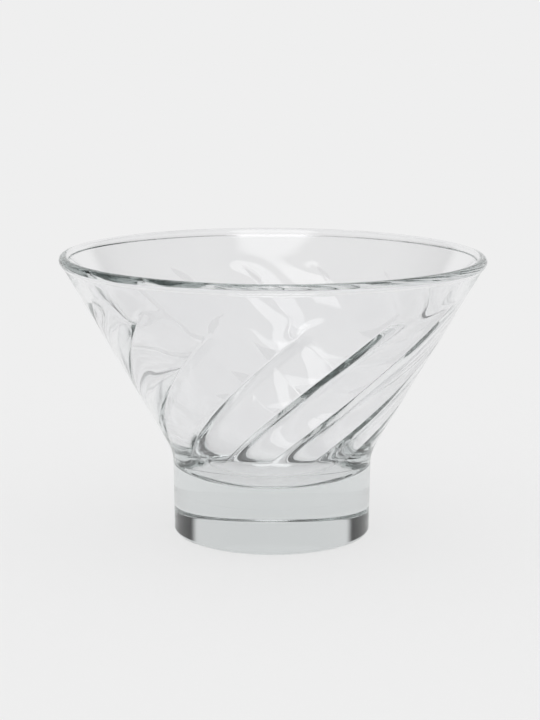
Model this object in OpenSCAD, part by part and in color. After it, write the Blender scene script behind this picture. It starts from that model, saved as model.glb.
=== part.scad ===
// Dessert glass: a wide flared bowl with swirled flutes, on a solid round foot.
// It stands on its origin, the middle of the underside, and +Z runs up its axis.

/* [Glass] */
// Height from the table to the top of the rim
height = 80; // [74:1:92]
// Outer diameter over the bead of the rim
rim_d = 120; // [108:1:136]

/* [Rim] */
// Radius of the round bead that closes the rim
bead_r = 1.5; // [1.4:0.05:2]
// How far the bead stands out of the outer cone
bead_proud = 0.3; // [0.1:0.05:0.5]
// Thickness of the wall just under the bead
rim_wall = 2.6; // [2.2:0.1:2.6]

/* [Bowl] */
// Diameter at which the inner cone meets the level of the floor
floor_d = 40; // [36:1:44]
// Radius of the round corner between the floor and the inner cone
floor_round = 14; // [8:0.5:18]
// Thickness of the glass between the floor and the foot disc
base_wall = 3.3; // [2:0.1:5]
// Radius of the hollow curve that turns the straight side into the outer cone
neck_round = 15; // [12:0.5:18]

/* [Foot] */
// Diameter of the straight side at its top
foot_d = 56.6; // [52:0.2:62]
// How much the radius of the straight side shrinks on the way down
foot_draft = 0.25; // [0:0.05:1]
// Height of the foot disc, up to the face that carries the bowl
foot_disc_h = 13; // [9:0.5:15]
// Height at which the straight side ends and the hollow curve begins
neck_h = 19.4; // [17:0.1:22]
// Radius of the round edge under the foot
foot_round = 2.2; // [1:0.1:3]

/* [Flutes] */
// Number of flutes round the bowl
flute_count = 14; // [9:1:16]
// Depth of a flute at its crease, where it is deepest
flute_depth = 1.3; // [0.8:0.05:1.6]
// Lean of a flute away from the slope of the cone, in degrees
flute_lean = 43; // [20:1:50]
// Turn of the whole set of flutes about the axis, in degrees
flute_turn = 5; // [0:1:45]
// How far above the straight side the flutes begin
flute_start = 5.6; // [3:0.1:7]
// How far below the top of the rim the flutes end
flute_stop = 12; // [9:0.5:18]
// Height over which a flute swells from its lower end to its full depth
swell_h = 4; // [3:0.5:9]
// Height over which a flute fades out towards its tip
fade_h = 16; // [10:0.5:24]
// How much higher the toe of a flute lies beside its riser than at its lowest point
toe_rise = 10; // [4:0.5:14]
// How round the toe of a flute is: a low power gives a slanted toe, a high one a square toe
toe_power = 4.5; // [2:0.5:6]
// Share of each flute that its riser takes where it is widest
riser_share = 0.2; // [0.12:0.01:0.3]
// Height over which the riser widens above the toe
riser_grow_h = 16; // [8:0.5:24]
// How soft the riser's bends are, from a straight riser at 0 to an S curve at 1
riser_softness = 0.3; // [0:0.1:1]
// How much the long slope rounds away from its crest: at 1 it is straight
slope_power = 1.2; // [1:0.1:2]

/* [Hidden] */

// True curves are drawn with this many steps
$fn = 96;
// How far one solid runs into the next where they are joined
lap = 0.1;
// How far the facets of the flutes lie inside the true cone
facet_inset = 0.02;
// Share of a flute that its riser keeps at the toe and the tip
riser_least_share = 0.06;
// Columns of points across the riser and across the long slope, as shares of each
riser_column_shares = [0, 0.25, 0.5, 0.75];
slope_column_shares = [0, 0.2, 0.4, 0.6, 0.8];
// Rings of points up the flutes
ring_count = 26;
// Rings crowd towards the lower end, where the flutes turn round, by this power
ring_crowding = 1.3;

// The outer line runs from the neck's curve to the bead, and touches both
neck_r = foot_d / 2;
foot_r = neck_r - foot_draft;
bead_mid = [rim_d / 2 - bead_r, height - bead_r];
neck_mid = [neck_r + neck_round, neck_h];
outer_run = bead_mid - neck_mid;
bead_inset = bead_r - bead_proud;
flare = acos(-(neck_round + bead_inset) / norm(outer_run)) - atan2(outer_run[1], outer_run[0]);
neck_top_z = neck_h + neck_round * sin(flare);
neck_top_r = neck_mid[0] - neck_round * cos(flare);

// The inner line runs from the floor to the bead and leaves the rim its wall
floor_z = foot_disc_h + base_wall;
floor_edge = [floor_d / 2, floor_z];
inner_run = bead_mid - floor_edge;
wall_inset = rim_wall - bead_inset;
inner_flare = acos(wall_inset / norm(inner_run)) - atan2(inner_run[1], inner_run[0]);

// The flutes lie between these two heights
flute_low_z = neck_h + flute_start;
flute_high_z = height - flute_stop;
flute_pitch = 360 / flute_count;

// Radius of the glass at a height, before the flutes are pressed in
function outer_r(z) = z < neck_top_z
    ? neck_mid[0] - sqrt(pow(neck_round, 2) - pow(max(z - neck_h, 0), 2))
    : neck_top_r + (z - neck_top_z) * tan(flare);
// A share held between 0 and 1, and the same with a slow start and a slow end
function held(t) = min(max(t, 0), 1);
function ease(t) = (1 - cos(180 * held(t))) / 2;
// A flute keeps its lean to the slope all the way up, so it turns with the logarithm of the radius
function turn(z) = flute_turn + tan(flute_lean) / sin(flare) * 180 / PI * ln(outer_r(z) / neck_r);
// A flute fades out in a straight taper towards its tip
function fade(z) = held((flute_high_z - z) / fade_h);
// Across a flute the riser comes first, from the crease at 0 to the crest, and the long slope follows
function crest(z) = max(riser_share * held((z - flute_low_z) / riser_grow_h) * fade(z), riser_least_share);
function riser_depth(t) = 1 - (1 - riser_softness) * t - riser_softness * ease(t);
function slope_depth(t) = pow(t, slope_power);
// The lower end of the long slope is a round toe that climbs towards the riser
function toe_z(u) = flute_low_z + toe_rise * pow(1 - u, toe_power);
function swell(z, start) = ease((z - start) / swell_h) * fade(z);

// Each column has its share of the riser or of the long slope, and follows the crest up the flute
riser_columns = [for (t = riser_column_shares) [t, 0]];
slope_columns = [for (t = slope_column_shares) [t, 1]];
columns = [for (i = [0 : flute_count - 1]) for (c = concat(riser_columns, slope_columns)) [i, c[0], c[1]]];
function place(c, z) = c[2] == 0 ? c[1] * crest(z) : crest(z) + c[1] * (1 - crest(z));
function depth(c, z) = c[2] == 0
    ? riser_depth(c[1]) * swell(z, flute_low_z)
    : slope_depth(c[1]) * swell(z, toe_z(place(c, z)));
function fluted_r(c, z) = outer_r(z) - facet_inset - flute_depth * depth(c, z);

skin_low_z = flute_low_z - lap;
skin_high_z = flute_high_z + lap;
ring_zs = [for (k = [0 : ring_count]) skin_low_z + (skin_high_z - skin_low_z) * pow(k / ring_count, ring_crowding)];

// The solid that the flutes are pressed into, one ring of points at a time
module fluted_skin() {
    across_n = len(columns);
    points = [for (z = ring_zs) for (c = columns)
        let (a = flute_pitch * (c[0] + place(c, z)) + turn(z), r = fluted_r(c, z))
        [r * cos(a), r * sin(a), z]];
    sides = [for (k = [0 : ring_count - 1]) for (i = [0 : across_n - 1])
        let (j = (i + 1) % across_n, low = k * across_n, high = low + across_n)
        each [[low + i, high + i, high + j], [low + i, high + j, low + j]]];
    lid = [for (i = [0 : across_n - 1]) ring_count * across_n + across_n - 1 - i];
    floor_face = [for (i = [0 : across_n - 1]) i];
    polyhedron(points = points, faces = concat([floor_face, lid], sides));
}

// The ring of true cone between the flutes and the bead, with the bead on top
module rim_band() {
    rotate_extrude() {
        polygon([
            [inner_r(flute_high_z), flute_high_z],
            [outer_r(flute_high_z), flute_high_z],
            bead_mid + bead_inset * [cos(flare), -sin(flare)],
            bead_mid,
            bead_mid + wall_inset * [-cos(inner_flare), sin(inner_flare)],
        ]);
        translate(bead_mid) circle(r = bead_r);
    }
}

// The straight side and the start of the hollow curve, under the flutes
module neck_band() {
    rotate_extrude() difference() {
        polygon([
            [0, foot_disc_h],
            [side_r(foot_disc_h), foot_disc_h],
            [neck_r, neck_h],
            [neck_mid[0], neck_h],
            [neck_mid[0], flute_low_z],
            [0, flute_low_z],
        ]);
        translate(neck_mid) circle(r = neck_round);
    }
}

// Radius of the inner cone at a height
function inner_r(z) = floor_edge[0] + (z - floor_z) * tan(inner_flare);
// Radius of the straight side at a height
function side_r(z) = foot_r + (neck_r - foot_r) * z / neck_h;

// The hollow of the bowl up to the rim band
module cavity() {
    // The corner's middle lies one corner radius above the floor and inside the inner line
    corner_mid = [floor_d / 2 - floor_round * tan((90 - inner_flare) / 2), floor_z + floor_round];
    mouth_z = skin_high_z + lap;
    rotate_extrude() {
        polygon([
            [0, floor_z],
            [corner_mid[0], floor_z],
            corner_mid,
            corner_mid + floor_round * [cos(inner_flare), -sin(inner_flare)],
            [inner_r(mouth_z), mouth_z],
            [0, mouth_z],
        ]);
        intersection() {
            translate(corner_mid) circle(r = floor_round);
            translate([0, floor_z - lap]) square([floor_d, floor_round + lap]);
        }
    }
}

module bowl() {
    color([0.86, 0.92, 0.9]) {
        difference() {
            union() {
                neck_band();
                fluted_skin();
            }
            cavity();
        }
        rim_band();
    }
}

module foot() {
    color([0.8, 0.88, 0.86]) rotate_extrude() {
        edge_mid = [side_r(foot_round) - foot_round, foot_round];
        polygon([
            [0, 0],
            [edge_mid[0], 0],
            edge_mid,
            [side_r(foot_round), foot_round],
            [side_r(foot_disc_h), foot_disc_h],
            [0, foot_disc_h],
        ]);
        translate(edge_mid) intersection() {
            circle(r = foot_round);
            translate([0, -foot_round]) square(foot_round);
        }
    }
}

bowl();
foot();
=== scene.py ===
import math

import bmesh
import bpy
from mathutils import Matrix, Vector, noise


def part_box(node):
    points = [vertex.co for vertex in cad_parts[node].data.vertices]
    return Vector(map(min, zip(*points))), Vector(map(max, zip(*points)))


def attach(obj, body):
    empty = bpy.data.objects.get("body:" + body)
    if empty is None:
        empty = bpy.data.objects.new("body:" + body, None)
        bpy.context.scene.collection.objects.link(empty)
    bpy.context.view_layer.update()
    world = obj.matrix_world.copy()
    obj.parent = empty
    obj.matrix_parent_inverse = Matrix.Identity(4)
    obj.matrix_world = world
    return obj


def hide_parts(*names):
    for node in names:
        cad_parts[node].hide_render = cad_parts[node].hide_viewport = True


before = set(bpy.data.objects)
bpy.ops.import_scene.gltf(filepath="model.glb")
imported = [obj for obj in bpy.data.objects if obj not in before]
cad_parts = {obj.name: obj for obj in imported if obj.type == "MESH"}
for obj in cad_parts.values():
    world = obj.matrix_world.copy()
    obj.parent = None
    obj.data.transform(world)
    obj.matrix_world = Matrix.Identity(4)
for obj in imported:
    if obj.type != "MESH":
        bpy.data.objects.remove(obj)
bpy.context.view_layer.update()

# Sizes are in metres and angles in radians, unless a comment says otherwise
MM = 0.001

# The frame gives the overall sizes of the glass
_, BOWL_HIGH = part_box("bowl")
_, FOOT_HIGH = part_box("foot")
RIM_R = BOWL_HIGH[0]
HEIGHT = BOWL_HIGH[2]
JOINT_Z = FOOT_HIGH[2]

# Rim: the bead's middle lies this far inside the outer line and the inner line
BEAD_R = 1.5 * MM
BEAD_INSET = 1.2 * MM
WALL_INSET = 1.4 * MM

# Straight side and hollow neck
NECK_R = 28.3 * MM
SIDE_BASE_R = 28.05 * MM
NECK_H = 19.4 * MM
NECK_ROUND = 15 * MM
FOOT_ROUND = 1.0 * MM
# The foot's top face lies a hair under the bowl, so that a ray meets one face at a time
JOINT_GAP = 0.006 * MM
# Faces within this distance of the gap's middle aren't seen: that takes in both, which lie half a gap from it
JOINT_REACH = 0.75 * JOINT_GAP

# Hollow of the bowl
FLOOR_Z = 16.3 * MM
FLOOR_EDGE_R = 20 * MM
FLOOR_ROUND = 14 * MM

# Flutes: rounded lobes that lean round the wall of the hollow, with a crease between neighbours
FLUTE_COUNT = 14
FLUTE_DEPTH = 1.4 * MM
# A power of 2 makes a lobe a plain parabola, and a higher one flattens its back
FLUTE_POWER = 2.3
FLUTE_LEAN = math.radians(43)
FLUTE_TURN = math.radians(5)
FLUTE_LOW_Z = 22 * MM
FLUTE_HIGH_Z = 72 * MM
# A flute swells over this height above its low end, and fades out over this one under its high end
SWELL_H = 26 * MM
FADE_H = 8 * MM

# Pressed glass isn't quite even: the wall of the hollow waves by this much, and less towards its floor and rim
WAVE = 0.05 * MM
WAVE_SIZE = 11 * MM
WAVE_SWELL_H = 8 * MM
WAVE_FADE_H = 7 * MM
# Only the hollow waves: what lies above this height, and at least this far inside the outer line
WAVE_LOW_Z = FLOOR_Z + 1 * MM
WAVE_INSET = 1.2 * MM

# Steps of the mesh across a flute, and along each stretch of the two outlines
FLUTE_COLUMNS = 36
JOINT_STEPS = 6
SIDE_STEPS = 6
NECK_STEPS = 18
CONE_STEPS = 8
UNDER_BEAD_STEPS = 4
BEAD_STEPS = 24
WALL_STEPS = 90
CORNER_STEPS = 22
FLOOR_STEPS = 6
UNDERSIDE_STEPS = 12
FOOT_EDGE_STEPS = 16
FOOT_SIDE_STEPS = 12
# The rings of the mesh draw together over this length under the bead, and just inside the edge of the underside
UNDER_BEAD = 2 * MM
FOOT_EDGE_RING = 0.1 * MM

# Places closer than these count as the same
MERGE_DIST = 0.001 * MM
FLOOR_SLACK = 0.01 * MM
JOINT_SLACK = 0.02 * MM
SKIN_SLACK = 0.1 * MM
# A face that looks up or down by at least this much of its normal is flat
FLAT_NORMAL = 0.9

# The outer line touches the neck's curve and the bead, and the inner line runs from the floor to the bead
BEAD_MID = Vector((RIM_R - BEAD_R, HEIGHT - BEAD_R))
NECK_MID = Vector((NECK_R + NECK_ROUND, NECK_H))
outer_run = BEAD_MID - NECK_MID
FLARE = math.acos(-(NECK_ROUND + BEAD_INSET) / outer_run.length) - math.atan2(outer_run.y, outer_run.x)
inner_run = BEAD_MID - Vector((FLOOR_EDGE_R, FLOOR_Z))
INNER_FLARE = math.acos(WALL_INSET / inner_run.length) - math.atan2(inner_run.y, inner_run.x)
NECK_TOP_Z = NECK_H + NECK_ROUND * math.sin(FLARE)
NECK_TOP_R = NECK_MID.x - NECK_ROUND * math.cos(FLARE)


def ease(t):
    """A share held between 0 and 1, with a slow start and a slow end."""
    return (1 - math.cos(math.pi * min(max(t, 0), 1))) / 2


def side_r(z):
    """Radius of the straight side at a height."""
    return SIDE_BASE_R + (NECK_R - SIDE_BASE_R) * z / NECK_H


def outer_r(z):
    """Radius of the outside of the bowl at a height."""
    if z < NECK_TOP_Z:
        return NECK_MID.x - math.sqrt(NECK_ROUND ** 2 - max(z - NECK_H, 0) ** 2)
    return NECK_TOP_R + (z - NECK_TOP_Z) * math.tan(FLARE)


def turn(z):
    """Turn of the flutes about the axis at a height: they keep their lean to the slope of the cone."""
    r = outer_r(min(max(z, NECK_H), FLUTE_HIGH_Z))
    return FLUTE_TURN + math.tan(FLUTE_LEAN) / math.sin(FLARE) * math.log(r / NECK_R)


def flute_sink(share, z):
    """How far the wall of the hollow sinks beside a flute: most in the creases, at shares 0 and 1 across it."""
    across = abs(2 * share - 1) ** FLUTE_POWER
    return FLUTE_DEPTH * across * ease((z - FLUTE_LOW_Z) / SWELL_H) * ease((FLUTE_HIGH_Z - z) / FADE_H)


def in_hollow(r, z):
    return z > FLOOR_Z - FLOOR_SLACK and r < outer_r(z) - SKIN_SLACK


def press_flutes(bm):
    """Leads the first flute's columns round the wall of the hollow, and sinks the wall towards the creases."""
    pitch = 2 * math.pi / FLUTE_COUNT
    for v in bm.verts:
        r = math.hypot(v.co.x, v.co.y)
        if r < MERGE_DIST:
            continue
        share = min(max(math.atan2(v.co.y, v.co.x) / pitch, 0), 1)
        z = v.co.z
        angle = share * pitch + turn(FLUTE_HIGH_Z)
        if in_hollow(r, z):
            angle = share * pitch + turn(z)
            r += flute_sink(share, z)
        v.co.x = r * math.cos(angle)
        v.co.y = r * math.sin(angle)


def wave_hollow(bm):
    """Lets the wall of the hollow wave a little, between the floor and the rim."""
    for v in bm.verts:
        r = math.hypot(v.co.x, v.co.y)
        z = v.co.z
        if r < outer_r(z) - WAVE_INSET and z > WAVE_LOW_Z:
            hold = ease((z - FLOOR_Z) / WAVE_SWELL_H) * ease((BEAD_MID.y - z) / WAVE_FADE_H)
            out = WAVE * hold * noise.noise(v.co / WAVE_SIZE)
            v.co.x += out * v.co.x / r
            v.co.y += out * v.co.y / r


def arc(mid, radius, start, end, steps):
    """Points along an arc, with the angles in radians from +X."""
    turns = [start + (end - start) * i / steps for i in range(steps + 1)]
    return [mid + radius * Vector((math.cos(t), math.sin(t))) for t in turns]


def line(start, end, steps):
    """Points from start up to, but not including, end."""
    return [start.lerp(end, i / steps) for i in range(steps)]


def spun(outline, shape=None):
    """A closed body of revolution: outline holds (radius, height) points from axis to axis.

    One flute's sector is spun and shaped, then repeated round the axis."""
    bm = bmesh.new()
    ring = [bm.verts.new((p.x, 0, p.y)) for p in outline]
    edges = [bm.edges.new(pair) for pair in zip(ring, ring[1:])]
    pitch = 2 * math.pi / FLUTE_COUNT
    bmesh.ops.spin(bm, geom=ring + edges, cent=(0, 0, 0), axis=(0, 0, 1), angle=pitch,
                   steps=FLUTE_COLUMNS, use_merge=False, use_duplicate=False)
    if shape:
        shape(bm)
    sector = bm.verts[:] + bm.edges[:] + bm.faces[:]
    for i in range(1, FLUTE_COUNT):
        copy = bmesh.ops.duplicate(bm, geom=sector)["geom"]
        verts = [g for g in copy if isinstance(g, bmesh.types.BMVert)]
        bmesh.ops.rotate(bm, verts=verts, cent=(0, 0, 0), matrix=Matrix.Rotation(i * pitch, 3, "Z"))
    bmesh.ops.remove_doubles(bm, verts=bm.verts, dist=MERGE_DIST)
    bmesh.ops.recalc_face_normals(bm, faces=bm.faces)
    for face in bm.faces:
        face.smooth = True
    return bm


def crisp_joint(bm):
    """Keeps a crisp edge round the flat face where bowl and foot meet."""
    for edge in bm.edges:
        flat = [abs(face.normal.z) > FLAT_NORMAL for face in edge.link_faces]
        at_joint = all(abs(v.co.z - JOINT_Z) < JOINT_SLACK for v in edge.verts)
        if at_joint and any(flat) and not all(flat):
            edge.smooth = False


def as_piece(name, bm, material):
    mesh = bpy.data.meshes.new(name)
    bm.to_mesh(mesh)
    bm.free()
    mesh.materials.append(material)
    piece = bpy.data.objects.new(name, mesh)
    bpy.context.scene.collection.objects.link(piece)
    return piece


def bowl_outline():
    """From the middle of the joint out, up the outside, round the bead and down the hollow to its middle."""
    joint_mid = Vector((0, JOINT_Z))
    joint_edge = Vector((side_r(JOINT_Z), JOINT_Z))
    side = line(joint_mid, joint_edge, JOINT_STEPS) + line(joint_edge, Vector((NECK_R, NECK_H)), SIDE_STEPS)
    neck = arc(NECK_MID, NECK_ROUND, math.pi, math.pi - FLARE, NECK_STEPS)
    low = -FLARE - math.acos(BEAD_INSET / BEAD_R)
    high = math.pi - INNER_FLARE - math.acos(WALL_INSET / BEAD_R)
    bead = arc(BEAD_MID, BEAD_R, low, high, BEAD_STEPS)
    under_bead = bead[0] + UNDER_BEAD * (neck[-1] - bead[0]).normalized()
    cone = line(neck[-1], under_bead, CONE_STEPS)[1:] + line(under_bead, bead[0], UNDER_BEAD_STEPS)
    corner_r = FLOOR_EDGE_R - FLOOR_ROUND * math.tan((math.pi / 2 - INNER_FLARE) / 2)
    corner = arc(Vector((corner_r, FLOOR_Z + FLOOR_ROUND)), FLOOR_ROUND, -INNER_FLARE, -math.pi / 2, CORNER_STEPS)
    wall = line(bead[-1], corner[0], WALL_STEPS)[1:]
    floor_mid = Vector((0, FLOOR_Z))
    return side + neck + cone + bead + wall + corner + line(corner[-1], floor_mid, FLOOR_STEPS)[1:] + [floor_mid]


def foot_outline():
    """From the middle of the underside out, round its edge, up the side and in to the middle of the joint."""
    top_z = JOINT_Z - JOINT_GAP
    edge_mid = Vector((side_r(FOOT_ROUND) - FOOT_ROUND, FOOT_ROUND))
    under = line(Vector((0, 0)), Vector((edge_mid.x, 0)), UNDERSIDE_STEPS)
    under.append(Vector((edge_mid.x - FOOT_EDGE_RING, 0)))
    edge = arc(edge_mid, FOOT_ROUND, -math.pi / 2, 0, FOOT_EDGE_STEPS)
    top_edge = Vector((side_r(JOINT_Z), top_z))
    top_mid = Vector((0, top_z))
    side = line(edge[-1], top_edge, FOOT_SIDE_STEPS)[1:]
    return under + edge + side + line(top_edge, top_mid, JOINT_STEPS) + [top_mid]


def math_node(tree, kind, *values):
    """A Math node's output: each value is a number or another node's output."""
    node = tree.nodes.new("ShaderNodeMath")
    node.operation = kind
    for socket, value in zip(node.inputs, values):
        if isinstance(value, (int, float)):
            socket.default_value = value
        else:
            tree.links.new(value, socket)
    return node.outputs[0]


def mix_shaders(tree, share, first, second):
    mix = tree.nodes.new("ShaderNodeMixShader")
    for socket, value in zip(mix.inputs, (share, first, second)):
        tree.links.new(value, socket)
    return mix.outputs[0]


# Glass: long ways through it darken to the deep colour, and a faint cloud runs between two clear ones
GLASS_IOR = 1.52
CLOUD_SCALE = 60
CLOUD_DETAIL = 3
CLOUD_COLOURS = [(0.3, (0.972, 0.972, 0.98, 1)), (0.7, (0.995, 0.995, 1, 1))]
DEEP_COLOUR = (0.71, 0.748, 0.742, 1)
DEEP_DENSITY = 16


def glass_material():
    """Clear glass. The faces of the joint aren't seen, so bowl and foot look like one body."""
    material = bpy.data.materials.new("clear_glass")
    material.use_nodes = True
    tree = material.node_tree
    nodes = tree.nodes
    links = tree.links
    shader = nodes["Principled BSDF"]
    shader.inputs["Transmission Weight"].default_value = 1
    shader.inputs["Roughness"].default_value = 0
    shader.inputs["IOR"].default_value = GLASS_IOR
    look = nodes.new("ShaderNodeTexCoord")
    cloud = nodes.new("ShaderNodeTexNoise")
    cloud.inputs["Scale"].default_value = CLOUD_SCALE
    cloud.inputs["Detail"].default_value = CLOUD_DETAIL
    links.new(look.outputs["Object"], cloud.inputs["Vector"])
    tint = nodes.new("ShaderNodeValToRGB")
    for stop, (position, colour) in zip(tint.color_ramp.elements, CLOUD_COLOURS):
        stop.position = position
        stop.color = colour
    links.new(cloud.outputs[0], tint.inputs[0])
    links.new(tint.outputs[0], shader.inputs["Base Color"])

    split = nodes.new("ShaderNodeSeparateXYZ")
    links.new(look.outputs["Object"], split.inputs[0])
    joint = math_node(tree, "COMPARE", split.outputs["Z"], JOINT_Z - JOINT_GAP / 2, JOINT_REACH)
    clear = nodes.new("ShaderNodeBsdfTransparent")
    surface = mix_shaders(tree, joint, shader.outputs[0], clear.outputs[0])
    depth = nodes.new("ShaderNodeVolumeAbsorption")
    depth.inputs["Color"].default_value = DEEP_COLOUR
    depth.inputs["Density"].default_value = DEEP_DENSITY
    out = nodes["Material Output"]
    links.new(surface, out.inputs["Surface"])
    links.new(depth.outputs[0], out.inputs["Volume"])
    return material


clear_glass = glass_material()

bm = spun(bowl_outline(), press_flutes)
wave_hollow(bm)
crisp_joint(bm)
bowl = as_piece("bowl_glass", bm, clear_glass)
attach(bowl, "root")
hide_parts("bowl")

bm = spun(foot_outline())
crisp_joint(bm)
foot = as_piece("foot_glass", bm, clear_glass)
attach(foot, "root")
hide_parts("foot")

# Studio floor: a share of what is seen of it is its own pale glow, and the rest is lit and keeps the shadow
STUDIO_FLOOR_SIZE = 8
STUDIO_FLOOR_GAP = 0.05 * MM
STUDIO_FLOOR_PAINT = 0.8
GLOW_SHARE = 0.75
BACKDROP = 0.863


def grey(level):
    return (level, level, level, 1)


def floor_material():
    material = bpy.data.materials.new("pale_floor")
    material.use_nodes = True
    tree = material.node_tree
    tree.nodes.clear()
    paint = tree.nodes.new("ShaderNodeBsdfDiffuse")
    paint.inputs["Color"].default_value = grey(STUDIO_FLOOR_PAINT)
    glow = tree.nodes.new("ShaderNodeEmission")
    glow.inputs["Strength"].default_value = BACKDROP
    path = tree.nodes.new("ShaderNodeLightPath")
    mirror = math_node(tree, "MAXIMUM", path.outputs["Is Glossy Ray"], path.outputs["Is Transmission Ray"])
    seen = math_node(tree, "MAXIMUM", mirror, path.outputs["Is Camera Ray"])
    share = math_node(tree, "MULTIPLY", seen, GLOW_SHARE)
    out = tree.nodes.new("ShaderNodeOutputMaterial")
    tree.links.new(mix_shaders(tree, share, paint.outputs[0], glow.outputs[0]), out.inputs["Surface"])
    return material


bm = bmesh.new()
bmesh.ops.create_grid(bm, x_segments=1, y_segments=1, size=STUDIO_FLOOR_SIZE / 2)
bmesh.ops.translate(bm, verts=bm.verts, vec=(0, 0, -STUDIO_FLOOR_GAP))
floor = as_piece("studio_floor", bm, floor_material())

# Studio: all angles in degrees, each pair from where an edge begins to where it ends.
# Aside is counted from straight behind the glass, and lift from the horizon.
LIGHT_LEVEL = 1.079
PALE_LEVEL = 0.80
DARK_LEVEL = 0.045
DARK_ASIDE = (38, 46)
DARK_LIFT = (10, 16)
BOX_LEVEL = 2.5
BOX_FROM_FRONT = (35, 39)
BOX_LOW = (52, 53.5)
BOX_HIGH = (74, 78)


def studio_world():
    """An even light, and the pale backdrop behind it all.

    Only glass and what is seen through it show the studio: pale low down and straight behind,
    dark above that at the sides and in front, with a softbox high over the front."""
    world = bpy.data.worlds.new("studio")
    bpy.context.scene.world = world
    world.use_nodes = True
    tree = world.node_tree
    nodes = tree.nodes
    links = tree.links
    nodes.clear()

    def step(value, edge):
        node = nodes.new("ShaderNodeMapRange")
        node.interpolation_type = "SMOOTHSTEP"
        links.new(value, node.inputs["Value"])
        node.inputs["From Min"].default_value = math.radians(edge[0])
        node.inputs["From Max"].default_value = math.radians(edge[1])
        return node.outputs["Result"]

    def blend(factor, low, high):
        node = nodes.new("ShaderNodeMix")
        node.data_type = "RGBA"
        links.new(factor, node.inputs["Factor"])
        for name, value in (("A", low), ("B", high)):
            socket = [s for s in node.inputs if s.name == name and s.type == "RGBA"][0]
            if isinstance(value, tuple):
                socket.default_value = value
            else:
                links.new(value, socket)
        return [s for s in node.outputs if s.type == "RGBA"][0]

    look = nodes.new("ShaderNodeTexCoord")
    split = nodes.new("ShaderNodeSeparateXYZ")
    links.new(look.outputs["Generated"], split.inputs[0])
    x, y, z = split.outputs
    aside = math_node(tree, "ABSOLUTE", math_node(tree, "ARCTAN2", x, y))
    from_front = math_node(tree, "SUBTRACT", math.pi, aside)
    lift = math_node(tree, "ARCSINE", z)

    dark = math_node(tree, "MULTIPLY", step(aside, DARK_ASIDE), step(lift, DARK_LIFT))
    studio = blend(dark, grey(PALE_LEVEL), grey(DARK_LEVEL))
    box_width = math_node(tree, "SUBTRACT", 1, step(from_front, BOX_FROM_FRONT))
    box_height = math_node(tree, "SUBTRACT", step(lift, BOX_LOW), step(lift, BOX_HIGH))
    studio = blend(math_node(tree, "MULTIPLY", box_width, box_height), studio, grey(BOX_LEVEL))

    # A ray that has left the floor's paint sees the even light, also through glass
    path = nodes.new("ShaderNodeLightPath")
    mirror = math_node(tree, "MAXIMUM", path.outputs["Is Glossy Ray"], path.outputs["Is Transmission Ray"])
    direct = math_node(tree, "LESS_THAN", path.outputs["Diffuse Depth"], 0.5)
    seen = blend(math_node(tree, "MULTIPLY", mirror, direct), grey(LIGHT_LEVEL), studio)
    seen = blend(path.outputs["Is Camera Ray"], seen, grey(BACKDROP))
    background = nodes.new("ShaderNodeBackground")
    links.new(seen, background.inputs["Color"])
    out = nodes.new("ShaderNodeOutputWorld")
    links.new(background.outputs[0], out.inputs["Surface"])


studio_world()

# Camera: the lens in millimetres, and the angles in degrees
CAMERA_PLACE = (-0.7 * MM, -515 * MM, 149.6 * MM)
CAMERA_LENS = 92.2
CAMERA_DOWN = 11.02
CAMERA_ROLL = 0.25
camera_data = bpy.data.cameras.new("camera")
camera_data.lens = CAMERA_LENS
camera = bpy.data.objects.new("camera", camera_data)
camera.location = CAMERA_PLACE
tilt = Matrix.Rotation(math.radians(90 - CAMERA_DOWN), 3, "X") @ Matrix.Rotation(math.radians(CAMERA_ROLL), 3, "Z")
camera.rotation_euler = tilt.to_euler()
bpy.context.scene.collection.objects.link(camera)
bpy.context.scene.camera = camera
bpy.context.scene.view_settings.view_transform = "Standard"

# Light is turned round many times inside the rim and the foot before it leaves them
BOUNCES = 64
bpy.context.scene.cycles.max_bounces = BOUNCES
bpy.context.scene.cycles.transmission_bounces = BOUNCES
bpy.context.scene.cycles.glossy_bounces = BOUNCES
